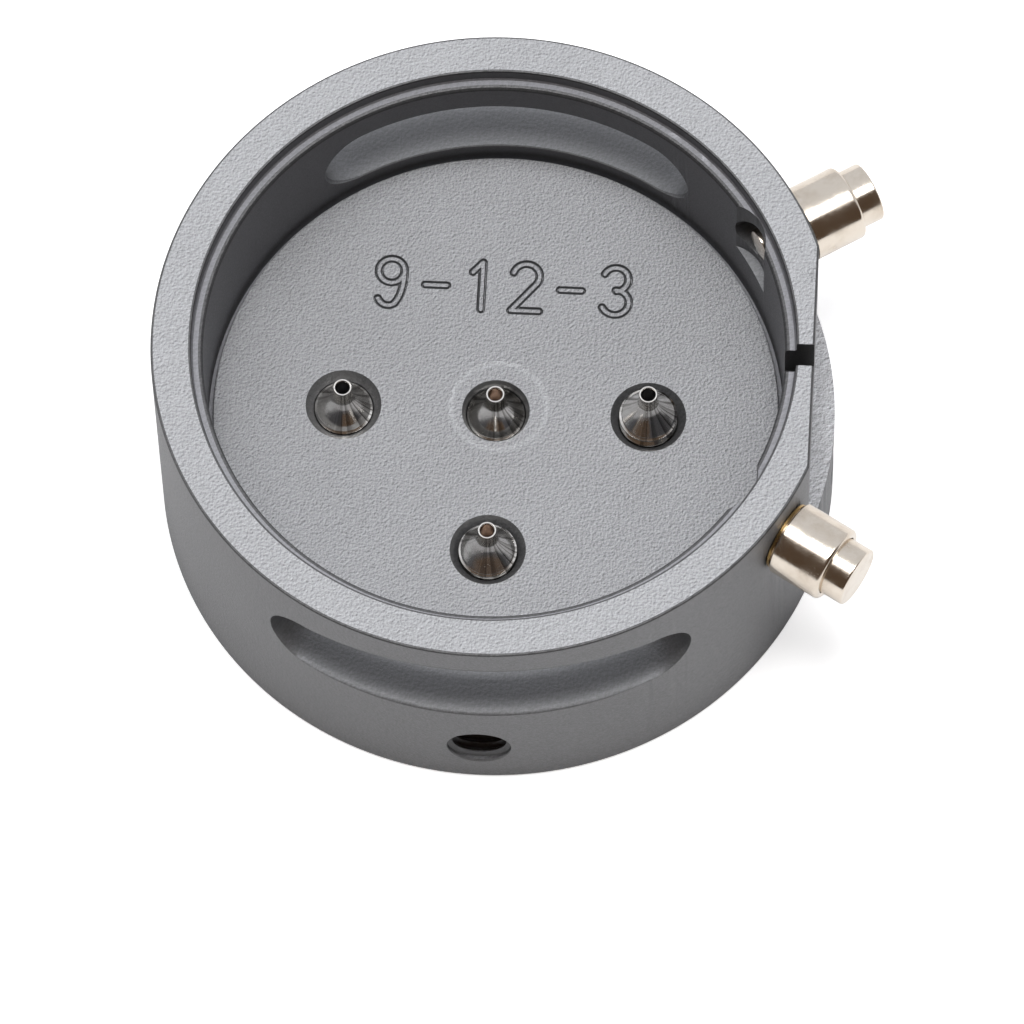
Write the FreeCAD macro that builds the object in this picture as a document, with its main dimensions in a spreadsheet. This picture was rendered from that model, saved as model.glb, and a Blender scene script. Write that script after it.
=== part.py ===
"""Round holder that carries a chronograph watch movement while its hands are pressed on.

Frame: millimetres, +Z up, origin at the centre of the bottom face.
+X is the 3 o'clock side (stem notch, between the two pushers) and +Y is the 12 o'clock side.
"""
import FreeCAD, Part
import math
import os
import re

import Sketcher

V = FreeCAD.Vector
UP = V(0, 0, 1)
OUT_DIR = "parts"
OVERCUT = 1.0

# Driving dimensions: alias, value in mm or degrees, what it is.
DIMENSIONS = (
    ("body_radius", 16.25, "outside of the turned body"),
    ("body_height", 14.2, "bottom face to rim"),
    ("seat_radius", 14.34, "bore that the movement drops into"),
    ("seat_height", 13.45, "ledge that the movement rests on"),
    ("recess_radius", 13.8, "bore under the ledge"),
    ("floor_height", 6.55, "raised floor round the posts"),
    ("floor_radius", 13.57, "edge of the raised floor"),
    ("relief_height", 5.9, "bottom of the relief groove round the floor"),
    ("edge_break", 0.12, "broken edges of the body"),
    ("flat_distance", 15.18, "3 o'clock flat, from the axis"),
    ("flat_height", 6.7, "ledge below the 3 o'clock flat"),
    ("notch_width", 1.12, "stem notch"),
    ("notch_height", 11.2, "bottom of the stem notch"),
    ("window_low", 7.4, "bottom of the finger windows"),
    ("window_high", 11.55, "top of the finger windows"),
    ("window_end_angle", 30.2, "middle of a window to the centre of its round end"),
    ("pocket_radius", 2.0, "cutter that clears each pusher's tip"),
    ("pocket_distance", 12.3, "that cutter's distance along the pusher's line"),
    ("pocket_height", 9.05, "bottom of the pusher pockets"),
    ("pusher_height", 11.0, "axis of the pushers"),
    ("pusher_bore_radius", 1.47, "hole through the wall for the pusher tube"),
    ("post_spacing", 7.32, "outer posts, from the centre post"),
    ("post_hole_radius", 1.44, "threaded hole of a post"),
    ("post_mouth_radius", 1.8, "countersunk mouth of a post hole"),
    ("post_mouth_depth", 0.42, "depth of that mouth"),
    ("screw_hole_radius", 1.5, "threaded hole of a lock screw"),
    ("screw_mouth_radius", 1.62, "countersunk mouth of a lock screw hole"),
    ("screw_height", 3.35, "axis of the lock screws"),
    ("thread_radius", 1.4, "outside of a post's threaded body"),
    ("post_length", 4.7, "threaded body of a post"),
    ("post_chamfer", 0.13, "edges of the threaded bodies"),
    ("cone_radius", 1.27, "base of the post's cone"),
    ("cone_height", 1.3, "height of the cone"),
    ("tip_height", 2.27, "base of the cone to the end of the hollow tip"),
    ("tip_radius", 0.45, "outside of the hollow tip"),
    ("tip_bore_radius", 0.33, "bore of the hollow tip"),
    ("tip_bore_depth", 1.6, "depth of that bore"),
    ("screw_radius", 1.45, "outside of a lock screw"),
    ("screw_length", 4.0, "length of a lock screw"),
    ("screw_point_radius", 0.95, "flat point of a lock screw"),
    ("screw_point_length", 0.5, "taper behind that point"),
    ("screw_clearance", 0.02, "lock screw's point to its post"),
    ("hex_width", 1.3, "hexagon sockets, across flats"),
    ("hex_depth", 1.2, "depth of the hexagon sockets"),
    ("tube_start", 16.5, "inner face of the pusher tube's barrel"),
    ("tube_end", 19.15, "outer face of the barrel"),
    ("tube_radius", 1.85, "outside of the barrel"),
    ("tube_round", 0.2, "rounded outer edge of the barrel"),
    ("tube_bore_radius", 1.5, "bore of the barrel"),
    ("tube_bore_start", 16.95, "bottom of the barrel's bore"),
    ("shank_radius", 1.45, "shank that screws into the wall"),
    ("shank_start", 14.95, "inner end of the shank"),
    ("gland_radius", 1.0, "recess for the gasket in the tube"),
    ("stem_bore_radius", 0.63, "stem's hole through the tube"),
    ("stem_radius", 0.6, "stem of the plunger"),
    ("stem_start", 14.35, "inner end of the stem"),
    ("cap_radius", 1.47, "finger end of the plunger"),
    ("cap_start", 18.3, "inner face of the plunger's cap"),
    ("cap_end", 20.3, "outer face of the cap"),
    ("cap_round", 0.1, "rounded edge of the cap"),
    ("cap_recess_radius", 1.24, "hollow in the cap for the spring"),
    ("cap_recess_end", 19.4, "bottom of that hollow"),
    ("foot_radius", 0.82, "stop nut on the stem's end"),
    ("foot_start", 14.2, "inner face of the stop nut"),
    ("foot_end", 14.93, "face of the stop nut that rests on the shank"),
    ("foot_bore_radius", 0.61, "bore of the stop nut"),
    ("washer_start", 16.26, "inner face of the washer"),
    ("washer_end", 16.4, "outer face of the washer"),
    ("washer_radius", 1.76, "outside of the washer"),
    ("gasket_distance", 16.725, "gasket, from the axis"),
    ("gasket_radius", 0.82, "gasket's ring"),
    ("gasket_section", 0.165, "gasket's section"),
    ("spring_radius", 1.12, "return spring's mean radius"),
    ("spring_wire", 0.08, "radius of the spring's wire"),
    ("spring_turns", 5, "turns of the spring"),
    ("end_gap", 0.02, "gap at a spring's end or a nut's bottom"),
)

# Support posts: name, direction from the centre in degrees (None in the centre), cone base height.
POSTS = (
    ("center", None, 6.15),
    ("3_oclock", 0.0, 6.83),
    ("6_oclock", 270.0, 6.5),
    ("9_oclock", 180.0, 6.2),
)

# The centre post is locked from the 12 o'clock side, each other post from its own side.
CENTER_LOCK_ANGLE = 90.0

# Pushers: name, direction in degrees, and how far the axis passes beside the body's own axis.
PUSHERS = (
    ("2_oclock", 31.6, -0.32),
    ("4_oclock", -30.7, 0.42),
)

TERM = re.compile(r"([+-]?)\s*([a-z][a-z_]+)")


def make_sheet(doc):
    """Spreadsheet with one aliased row for each driving dimension."""
    sheet = doc.addObject("Spreadsheet::Sheet", "Dimensions")
    for row, (alias, value, meaning) in enumerate(DIMENSIONS, start=1):
        sheet.set(f"A{row}", meaning)
        sheet.set(f"B{row}", str(value))
        sheet.setAlias(f"B{row}", alias)
    doc.recompute()
    return sheet


def size(sheet, formula):
    """Value of a sum or difference of aliases, such as 'body_radius - edge_break'."""
    total = 0.0
    for sign, alias in TERM.findall(formula):
        value = float(sheet.get(alias))
        total += -value if sign == "-" else value
    return total


def bound(formula):
    """The same formula as a document expression that reads the sheet."""
    return TERM.sub(r"\1 Dimensions.\2", formula).strip()


def radial_placement(angle, distance, height, offset=0.0):
    """Placement whose local Z points outwards at an angle, with the local origin at a distance."""
    outward = FreeCAD.Rotation(UP, angle).multiply(FreeCAD.Rotation(V(0, 1, 0), 90))
    along = FreeCAD.Rotation(UP, angle).multVec(V(distance, offset, 0))
    return FreeCAD.Placement(along + UP * height, outward)


def origin_plane(body, role):
    """One of a body's own origin planes."""
    for feature in body.Origin.OriginFeatures:
        if feature.Role == role:
            return feature
    raise ValueError(role)


def new_body(doc, label):
    """Empty body with its own label."""
    body = doc.addObject("PartDesign::Body", label)
    body.Label = label
    return body


def draw_outline(body, name, points):
    """Closed sketch on the body's XZ plane through (radius, height) points given as formulas.

    An empty formula means zero, and pins that coordinate to the sketch's axis.
    """
    sheet = body.Document.Dimensions
    sketch = body.newObject("Sketcher::SketchObject", name)
    sketch.AttachmentSupport = [(origin_plane(body, "XZ_Plane"), "")]
    sketch.MapMode = "FlatFace"
    corners = [V(size(sheet, across), size(sheet, up), 0) for across, up in points]
    for i, corner in enumerate(corners):
        following = corners[(i + 1) % len(corners)]
        sketch.addGeometry(Part.LineSegment(corner, following))
    for i in range(len(corners)):
        sketch.addConstraint(Sketcher.Constraint("Coincident", i, 2, (i + 1) % len(corners), 1))
    for i, (across, up) in enumerate(points):
        pin(sketch, i, "DistanceX", across, corners[i].x, -2)
        pin(sketch, i, "DistanceY", up, corners[i].y, -1)
    return sketch


def pin(sketch, line, kind, formula, value, axis):
    """Tie one coordinate of a line's first point to its formula, or to an axis if it is zero."""
    if not formula:
        sketch.addConstraint(Sketcher.Constraint("PointOnObject", line, 1, axis))
        return
    index = sketch.addConstraint(Sketcher.Constraint(kind, -1, 1, line, 1, value))
    sketch.setExpression(f"Constraints[{index}]", bound(formula))


def turn(body, points):
    """Solid of revolution round the body's Z axis."""
    sketch = draw_outline(body, body.Label + "_outline", points)
    turned = body.newObject("PartDesign::Revolution", body.Label + "_turned")
    turned.Profile = sketch
    turned.ReferenceAxis = (sketch, ["V_Axis"])
    turned.Angle = 360
    return turned


def cut_cylinder(body, name, radius, height, placement):
    """Cut a cylinder whose radius and height are formulas."""
    cut = body.newObject("PartDesign::SubtractiveCylinder", name)
    cut.setExpression("Radius", bound(radius))
    cut.setExpression("Height", bound(height))
    cut.Placement = placement
    return cut


def cut_cone(body, name, start_radius, end_radius, height, placement):
    """Cut a cone that widens along the placement's Z."""
    cut = body.newObject("PartDesign::SubtractiveCone", name)
    cut.setExpression("Radius1", bound(start_radius))
    cut.setExpression("Radius2", bound(end_radius))
    cut.setExpression("Height", bound(height))
    cut.Placement = placement
    return cut


def cut_box(body, name, lengths, corner):
    """Cut a box of three lengths, each a formula or a number, from its lowest corner."""
    cut = body.newObject("PartDesign::SubtractiveBox", name)
    for side, length in zip(("Length", "Width", "Height"), lengths):
        if isinstance(length, str):
            cut.setExpression(side, bound(length))
        else:
            setattr(cut, side, length)
    cut.Placement = FreeCAD.Placement(corner, FreeCAD.Rotation())
    return cut


def cut_hexagon(body, height, upwards):
    """Hexagon socket of the sheet's width and depth, cut up or down from a local height."""
    sheet = body.Document.Dimensions
    sketch = body.newObject("Sketcher::SketchObject", body.Label + "_hexagon")
    sketch.AttachmentSupport = [(origin_plane(body, "XY_Plane"), "")]
    sketch.MapMode = "FlatFace"
    if height:
        sketch.setExpression("AttachmentOffset.Base.z", bound(height))
    corner = size(sheet, "hex_width") / math.sqrt(3)
    corners = [V(corner * math.cos(a), corner * math.sin(a), 0) for a in sixths()]
    for i in range(6):
        sketch.addGeometry(Part.LineSegment(corners[i], corners[(i + 1) % 6]))
    circle = sketch.addGeometry(Part.Circle(V(0, 0, 0), UP, corner), True)
    for i in range(6):
        sketch.addConstraint(Sketcher.Constraint("Coincident", i, 2, (i + 1) % 6, 1))
        sketch.addConstraint(Sketcher.Constraint("PointOnObject", i, 1, circle))
    for i in range(5):
        sketch.addConstraint(Sketcher.Constraint("Equal", i, i + 1))
    sketch.addConstraint(Sketcher.Constraint("Coincident", circle, 3, -1, 1))
    sketch.addConstraint(Sketcher.Constraint("PointOnObject", 0, 1, -1))
    width = sketch.addConstraint(Sketcher.Constraint("Radius", circle, corner))
    sketch.setExpression(f"Constraints[{width}]", "Dimensions.hex_width / sqrt(3)")
    socket = body.newObject("PartDesign::Pocket", body.Label + "_socket")
    socket.Profile = sketch
    socket.Reversed = upwards
    socket.setExpression("Length", "Dimensions.hex_depth")


def sixths():
    """Directions of a hexagon's corners, in radians."""
    return [math.radians(60 * i) for i in range(6)]


def make_holder_body(doc):
    """One-piece turned and milled body."""
    body = new_body(doc, "holder_body")
    turn(body, (
        ("", "floor_height"),
        ("floor_radius - edge_break", "floor_height"),
        ("floor_radius", "floor_height - edge_break"),
        ("floor_radius", "relief_height"),
        ("recess_radius", "relief_height"),
        ("recess_radius", "seat_height"),
        ("seat_radius", "seat_height"),
        ("seat_radius", "body_height - edge_break"),
        ("seat_radius + edge_break", "body_height"),
        ("body_radius - edge_break", "body_height"),
        ("body_radius", "body_height - edge_break"),
        ("body_radius", "edge_break"),
        ("body_radius - edge_break", ""),
        ("", ""),
    ))
    mill_flat_and_notch(body)
    mill_windows(body)
    for name, angle, offset in PUSHERS:
        mill_pusher_seat(body, name, angle, offset)
    for name, angle, _ in POSTS:
        drill_post_hole(body, name, angle)
        drill_lock_hole(body, name, angle)
    return body


def mill_flat_and_notch(body):
    """Flat on the 3 o'clock side, and the slot that lets the winding stem out."""
    sheet = body.Document.Dimensions
    wide = 2 * size(sheet, "body_radius")
    flat = V(size(sheet, "flat_distance"), -wide / 2, size(sheet, "flat_height"))
    cut_box(body, "flat", ("body_radius - flat_distance + edge_break", wide,
                           "body_height - flat_height + edge_break"), flat)
    notch = V(size(sheet, "recess_radius") - OVERCUT, -size(sheet, "notch_width") / 2,
              size(sheet, "notch_height"))
    cut_box(body, "stem_notch", ("body_radius - pocket_distance", "notch_width",
                                 "body_height - notch_height + edge_break"), notch)


def mill_windows(body):
    """Finger windows at 12 and 6 o'clock: arc slots with round ends, right through the wall."""
    sheet = body.Document.Dimensions
    sketch = body.newObject("Sketcher::SketchObject", "window_outline")
    sketch.AttachmentSupport = [(origin_plane(body, "YZ_Plane"), "")]
    sketch.MapMode = "FlatFace"
    near = size(sheet, "floor_radius")
    far = size(sheet, "body_radius + edge_break")
    low = size(sheet, "window_low")
    high = size(sheet, "window_high")
    corners = (V(near, low, 0), V(far, low, 0), V(far, high, 0), V(near, high, 0))
    for i in range(4):
        sketch.addGeometry(Part.LineSegment(corners[i], corners[(i + 1) % 4]))
    for i in range(4):
        sketch.addConstraint(Sketcher.Constraint("Coincident", i, 2, (i + 1) % 4, 1))
    for line in (0, 2):
        sketch.addConstraint(Sketcher.Constraint("Horizontal", line))
    for line in (1, 3):
        sketch.addConstraint(Sketcher.Constraint("Vertical", line))
    pin(sketch, 0, "DistanceX", "floor_radius", near, -2)
    pin(sketch, 0, "DistanceY", "window_low", low, -1)
    pin(sketch, 2, "DistanceY", "window_high", high, -1)
    pin(sketch, 2, "DistanceX", "body_radius + edge_break", far, -2)
    slot = body.newObject("PartDesign::Groove", "window_slot")
    slot.Profile = sketch
    slot.ReferenceAxis = (sketch, ["V_Axis"])
    slot.Midplane = True
    slot.setExpression("Angle", "2 * Dimensions.window_end_angle")
    opposite = body.newObject("PartDesign::PolarPattern", "window_slots")
    opposite.Originals = [slot]
    opposite.Axis = (sketch, ["V_Axis"])
    opposite.Angle = 360
    opposite.Occurrences = 2
    body.Tip = opposite
    end_angle = size(sheet, "window_end_angle")
    middle = (low + high) / 2
    for side in (90, 270):
        for end in (-end_angle, end_angle):
            place = radial_placement(side + end, near, middle)
            end_cut = cut_cylinder(body, "window_end", "window_high - window_low",
                                   "body_radius - pocket_distance", place)
            end_cut.setExpression("Radius", "(Dimensions.window_high - Dimensions.window_low) / 2")


def mill_pusher_seat(body, name, angle, offset):
    """Pocket that clears a pusher's tip, and the hole that its tube screws into."""
    sheet = body.Document.Dimensions
    distance = size(sheet, "pocket_distance")
    centre = FreeCAD.Rotation(UP, angle).multVec(V(distance, offset, size(sheet, "pocket_height")))
    cut_cylinder(body, "pocket_" + name, "pocket_radius", "body_height - pocket_height + edge_break",
                 FreeCAD.Placement(centre, FreeCAD.Rotation()))
    place = radial_placement(angle, distance, size(sheet, "pusher_height"), offset)
    cut_cylinder(body, "pusher_hole_" + name, "pusher_bore_radius",
                 "body_radius - pocket_distance + edge_break", place)


def post_centre(sheet, angle):
    """Place of a post's axis, at height zero."""
    if angle is None:
        return V(0, 0, 0)
    return FreeCAD.Rotation(UP, angle).multVec(V(size(sheet, "post_spacing"), 0, 0))


def drill_post_hole(body, name, angle):
    """Hole right through the floor for a post, with a countersunk mouth."""
    sheet = body.Document.Dimensions
    centre = post_centre(sheet, angle)
    cut_cylinder(body, "post_hole_" + name, "post_hole_radius", "floor_height + edge_break",
                 FreeCAD.Placement(centre, FreeCAD.Rotation()))
    mouth = centre + UP * size(sheet, "floor_height - post_mouth_depth")
    cut_cone(body, "post_mouth_" + name, "post_hole_radius", "post_mouth_radius",
             "post_mouth_depth", FreeCAD.Placement(mouth, FreeCAD.Rotation()))


def drill_lock_hole(body, name, angle):
    """Hole from the outside to a post, for its lock screw, with a countersunk mouth."""
    sheet = body.Document.Dimensions
    height = size(sheet, "screw_height")
    if angle is None:
        place = radial_placement(CENTER_LOCK_ANGLE, 0, height)
        reach = "body_radius + edge_break"
    else:
        place = radial_placement(angle, size(sheet, "post_spacing"), height)
        reach = "body_radius - post_spacing + edge_break"
    cut_cylinder(body, "lock_hole_" + name, "screw_hole_radius", reach, place)
    side = CENTER_LOCK_ANGLE if angle is None else angle
    mouth = radial_placement(side, size(sheet, "body_radius - screw_mouth_radius + screw_hole_radius"),
                             height)
    cut_cone(body, "lock_mouth_" + name, "screw_hole_radius", "screw_mouth_radius",
             "screw_mouth_radius - screw_hole_radius", mouth)


def make_post(doc, name, angle, base_height):
    """Support post: threaded body, polished cone and hollow tip, hexagon socket underneath."""
    sheet = doc.Dimensions
    body = new_body(doc, "support_post_" + name)
    turn(body, (
        ("", ""),
        ("thread_radius - post_chamfer", ""),
        ("thread_radius", "post_chamfer"),
        ("thread_radius", "post_length - post_chamfer"),
        ("cone_radius", "post_length"),
        ("tip_radius", "post_length + cone_height"),
        ("tip_radius", "post_length + tip_height"),
        ("tip_bore_radius", "post_length + tip_height"),
        ("tip_bore_radius", "post_length + tip_height - tip_bore_depth"),
        ("", "post_length + tip_height - tip_bore_depth"),
    ))
    cut_hexagon(body, "", True)
    foot = post_centre(sheet, angle) + UP * (base_height - size(sheet, "post_length"))
    body.Placement = FreeCAD.Placement(foot, FreeCAD.Rotation())
    return body


def make_lock_screw(doc, name, angle):
    """Headless screw that holds a post, with a flat point and a hexagon socket outside."""
    sheet = doc.Dimensions
    body = new_body(doc, "lock_screw_" + name)
    turn(body, (
        ("", ""),
        ("screw_point_radius", ""),
        ("screw_radius", "screw_point_length"),
        ("screw_radius", "screw_length - post_chamfer"),
        ("screw_radius - post_chamfer", "screw_length"),
        ("", "screw_length"),
    ))
    cut_hexagon(body, "screw_length", False)
    start = size(sheet, "thread_radius + screw_clearance")
    side = CENTER_LOCK_ANGLE if angle is None else angle
    if angle is not None:
        start += size(sheet, "post_spacing")
    body.Placement = radial_placement(side, start, size(sheet, "screw_height"))
    return body


def round_edge(body, name, radius, distance, rounding):
    """Round the circular edge that has this radius and local height."""
    sheet = body.Document.Dimensions
    body.Document.recompute()
    sharp = body.Tip
    for number, edge in enumerate(sharp.Shape.Edges, start=1):
        is_circle = isinstance(edge.Curve, Part.Circle)
        if not is_circle or abs(edge.Curve.Radius - size(sheet, radius)) > 1e-6:
            continue
        if abs(edge.Curve.Center.z - size(sheet, distance)) < 1e-6:
            rounded = body.newObject("PartDesign::Fillet", name)
            rounded.Base = (sharp, [f"Edge{number}"])
            rounded.setExpression("Radius", bound(rounding))
            return
    raise ValueError(name)


def make_pusher_tube(doc, name):
    """Barrel with a shank that screws into the wall; local Z is the distance from the axis."""
    body = new_body(doc, "pusher_tube_" + name)
    turn(body, (
        ("stem_bore_radius", "shank_start"),
        ("shank_radius", "shank_start"),
        ("shank_radius", "tube_start"),
        ("tube_radius", "tube_start"),
        ("tube_radius", "tube_end"),
        ("tube_bore_radius", "tube_end"),
        ("tube_bore_radius", "tube_bore_start"),
        ("gland_radius", "tube_bore_start"),
        ("gland_radius", "tube_start"),
        ("stem_bore_radius", "tube_start"),
    ))
    round_edge(body, "barrel_edge_" + name, "tube_radius", "tube_end", "tube_round")
    return body


def make_plunger(doc, name):
    """Plunger: hollow cap for the finger, and the stem that works the movement's lever."""
    body = new_body(doc, "pusher_plunger_" + name)
    turn(body, (
        ("", "stem_start"),
        ("stem_radius", "stem_start"),
        ("stem_radius", "cap_recess_end"),
        ("cap_recess_radius", "cap_recess_end"),
        ("cap_recess_radius", "cap_start"),
        ("cap_radius", "cap_start"),
        ("cap_radius", "cap_end"),
        ("", "cap_end"),
    ))
    round_edge(body, "cap_edge_" + name, "cap_radius", "cap_end", "cap_round")
    return body


def make_stop_nut(doc, name):
    """Stop nut on the end of the stem, which keeps the plunger in its tube."""
    body = new_body(doc, "pusher_stop_nut_" + name)
    turn(body, (
        ("", "foot_start"),
        ("foot_radius", "foot_start"),
        ("foot_radius", "foot_end"),
        ("foot_bore_radius", "foot_end"),
        ("foot_bore_radius", "stem_start - end_gap"),
        ("", "stem_start - end_gap"),
    ))
    return body


def make_washer(doc, name):
    """Thin brass washer between the wall and the barrel."""
    body = new_body(doc, "pusher_washer_" + name)
    turn(body, (
        ("pusher_bore_radius", "washer_start"),
        ("washer_radius", "washer_start"),
        ("washer_radius", "washer_end"),
        ("pusher_bore_radius", "washer_end"),
    ))
    return body


def draw_circle(body, name, across, up, radius):
    """Circle on the body's XZ plane, its centre and radius given as formulas."""
    sheet = body.Document.Dimensions
    sketch = body.newObject("Sketcher::SketchObject", name)
    sketch.AttachmentSupport = [(origin_plane(body, "XZ_Plane"), "")]
    sketch.MapMode = "FlatFace"
    centre = V(size(sheet, across), size(sheet, up), 0)
    sketch.addGeometry(Part.Circle(centre, UP, size(sheet, radius)))
    settings = (
        (Sketcher.Constraint("DistanceX", -1, 1, 0, 3, centre.x), across),
        (Sketcher.Constraint("DistanceY", -1, 1, 0, 3, centre.y), up),
        (Sketcher.Constraint("Radius", 0, size(sheet, radius)), radius),
    )
    for constraint, formula in settings:
        index = sketch.addConstraint(constraint)
        sketch.setExpression(f"Constraints[{index}]", bound(formula))
    return sketch


def make_gasket(doc, name):
    """Rubber ring that seals and steadies the stem."""
    body = new_body(doc, "pusher_gasket_" + name)
    sketch = draw_circle(body, "gasket_section_" + name, "gasket_radius", "gasket_distance",
                         "gasket_section")
    ring = body.newObject("PartDesign::Revolution", "gasket_ring_" + name)
    ring.Profile = sketch
    ring.ReferenceAxis = (sketch, ["V_Axis"])
    ring.Angle = 360
    return body


def make_spring(doc, name):
    """Return spring between the bottom of the barrel and the plunger's cap."""
    body = new_body(doc, "pusher_spring_" + name)
    sketch = draw_circle(body, "spring_section_" + name, "spring_radius",
                         "tube_bore_start + end_gap + spring_wire", "spring_wire")
    coil = body.newObject("PartDesign::AdditiveHelix", "spring_coil_" + name)
    coil.Profile = sketch
    coil.ReferenceAxis = (sketch, ["V_Axis"])
    coil.Mode = "height-turns-angle"
    ends = bound("cap_recess_end - tube_bore_start - end_gap - end_gap - spring_wire - spring_wire")
    coil.setExpression("Height", ends)
    coil.setExpression("Turns", bound("spring_turns"))
    return body


def make_pusher(doc, name, angle, offset):
    """All the pieces of one pusher, built along local Z and then laid on the pusher's line."""
    height = size(doc.Dimensions, "pusher_height")
    makers = (make_pusher_tube, make_plunger, make_stop_nut, make_washer, make_gasket, make_spring)
    pieces = [maker(doc, name) for maker in makers]
    for piece in pieces:
        piece.Placement = radial_placement(angle, 0, height, offset)
    return pieces


def check(doc, pieces):
    """Stop on any failed feature or on a piece that is not one valid solid."""
    for thing in doc.Objects:
        if "Invalid" in thing.State or "Error" in thing.State:
            raise RuntimeError(f"{thing.Label}: {thing.State}")
    for piece in pieces:
        shape = piece.Shape
        if shape.isNull() or not shape.isValid() or len(shape.Solids) != 1:
            raise RuntimeError(f"{piece.Label}: not one valid solid")


def main():
    """Build every piece and write each one as its own STEP file."""
    doc = FreeCAD.newDocument("movement_holder")
    make_sheet(doc)
    pieces = [make_holder_body(doc)]
    for name, angle, base_height in POSTS:
        pieces.append(make_post(doc, name, angle, base_height))
        pieces.append(make_lock_screw(doc, name, angle))
    for name, angle, offset in PUSHERS:
        pieces.extend(make_pusher(doc, name, angle, offset))
    doc.recompute()
    check(doc, pieces)
    os.makedirs(OUT_DIR, exist_ok=True)
    for piece in pieces:
        piece.Shape.exportStep(os.path.join(OUT_DIR, piece.Label + ".step"))
        print(f"{piece.Label}: {piece.Shape.Volume:.3f} mm3")


main()
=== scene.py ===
"""Looks of the watch movement holder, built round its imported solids.

Lengths are in millimetres, except a light's. The body's axis is Z, 3 o'clock is +X and 12 is +Y.
"""
import math

import bmesh
import bpy
import numpy as np
from mathutils import Matrix, Vector


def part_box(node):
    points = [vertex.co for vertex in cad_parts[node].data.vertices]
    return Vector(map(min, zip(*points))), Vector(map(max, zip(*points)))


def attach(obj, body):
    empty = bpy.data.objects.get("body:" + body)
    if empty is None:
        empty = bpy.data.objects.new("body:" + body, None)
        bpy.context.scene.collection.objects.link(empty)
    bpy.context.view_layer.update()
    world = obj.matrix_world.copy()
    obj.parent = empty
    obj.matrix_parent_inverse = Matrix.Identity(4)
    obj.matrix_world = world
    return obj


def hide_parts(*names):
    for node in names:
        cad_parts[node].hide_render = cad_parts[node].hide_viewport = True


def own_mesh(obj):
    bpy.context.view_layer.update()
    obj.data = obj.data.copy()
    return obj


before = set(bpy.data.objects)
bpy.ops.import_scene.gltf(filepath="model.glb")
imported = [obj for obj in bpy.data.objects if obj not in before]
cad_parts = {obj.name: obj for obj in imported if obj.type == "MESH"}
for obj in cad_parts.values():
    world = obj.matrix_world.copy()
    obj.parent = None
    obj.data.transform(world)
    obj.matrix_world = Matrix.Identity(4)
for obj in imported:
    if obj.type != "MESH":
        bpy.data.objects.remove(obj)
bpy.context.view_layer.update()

MM = 0.001
UP = Vector((0, 0, 1))

# Turned body.
BODY_RADIUS = 16.25
BODY_HEIGHT = 14.2
SEAT_RADIUS = 14.34
SEAT_HEIGHT = 13.45
RECESS_RADIUS = 13.8
FLOOR_RADIUS = 13.57
FLOOR_HEIGHT = 6.55
RELIEF_HEIGHT = 5.9
EDGE_BREAK = 0.12
EDGE_SAG = 0.035
SEAT_ROUNDING = 0.22
SEAT_FILLET = 0.08
BODY_STEPS = 360

# Milled features.
FLAT_DISTANCE = 15.18
FLAT_HEIGHT = 6.7
FLAT_BREAK = 0.1
NOTCH_WIDTH = 1.12
NOTCH_HEIGHT = 11.2
WINDOW_LOW = 7.4
WINDOW_HIGH = 11.55
WINDOW_END_ANGLE = 30.2
POCKET_RADIUS = 2.0
POCKET_DISTANCE = 12.3
POCKET_HEIGHT = 9.05
PUSHER_HEIGHT = 11.0
PUSHER_BORE_RADIUS = 1.47
MILL_BREAK = 0.05
PUSHER_SIDE = 8.0
CUT_MARGIN = 1.0

# Shallow ring cut in the floor round the centre post.
HALO_RADIUS = 2.28
HALO_THICKNESS = 0.4
HALO_LIFT = 0.36
HALO_MIDDLE = (0.14, 0.2, 0)

# Posts and their lock screws.
POST_DISTANCE = 7.32
POST_HOLE_RADIUS = 1.44
POST_HOLE_MOUTH = 1.79
CENTER_HOLE_MOUTH = 1.6
POST_RADIUS = 1.22
POST_THREAD_RADIUS = 1.39
POST_THREAD_PITCH = 0.35
POST_CONE_HEIGHT = 2.27
POST_TIP_RADIUS = 0.45
POST_BORE_RADIUS = 0.33
POST_BORE_DEPTH = 1.5
SOCKET_WIDTH = 1.3
LOCK_HEIGHT = 3.35
LOCK_LENGTH = 4.0
LOCK_GAP = 1.42
LOCK_RADIUS = 1.24
LOCK_THREAD_RADIUS = 1.44
LOCK_THREAD_PITCH = 0.5
LOCK_THREAD_TURNS = 5.6
LOCK_HOLE_RADIUS = 1.52
LOCK_RIDGE_RADIUS = 1.29
LOCK_RIDGE_PITCH = 0.42
LOCK_RIDGE_START = 14.58
LOCK_RIDGES = 4

# Pushers: places along a pusher are distances from the body's axis.
TUBE_RADIUS = 1.85
TUBE_SCREW_RADIUS = 1.45
TUBE_BORE_RADIUS = 1.5
TUBE_INNER_END = 14.95
TUBE_SHOULDER = 16.5
TUBE_END = 19.15
GUIDE_BORE_RADIUS = 0.63
GASKET_SEAT_RADIUS = 1.0
GASKET_SEAT_END = 16.95
PLUNGER_CAP_RADIUS = 1.47
PLUNGER_ROD_RADIUS = 0.6
PLUNGER_SKIRT = 18.3
PLUNGER_END = 20.3
NUT_RADIUS = 0.82
SPRING_RADIUS = 1.12
SPRING_WIRE_RADIUS = 0.08
SPRING_START = 17.05
SPRING_PITCH = 0.454
SPRING_TURNS = 5

# Directions in degrees. The centre post's lock screw comes from the 12 o'clock side.
POSTS = ("center", "3_oclock", "6_oclock", "9_oclock")
LOCK_ANGLES = {"center": 90.0, "3_oclock": 0.0, "6_oclock": 270.0, "9_oclock": 180.0}
# Each pusher's name, direction and sideways shift.
PUSHERS = (("2_oclock", 31.6, -0.32), ("4_oclock", -30.7, 0.42))

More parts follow.
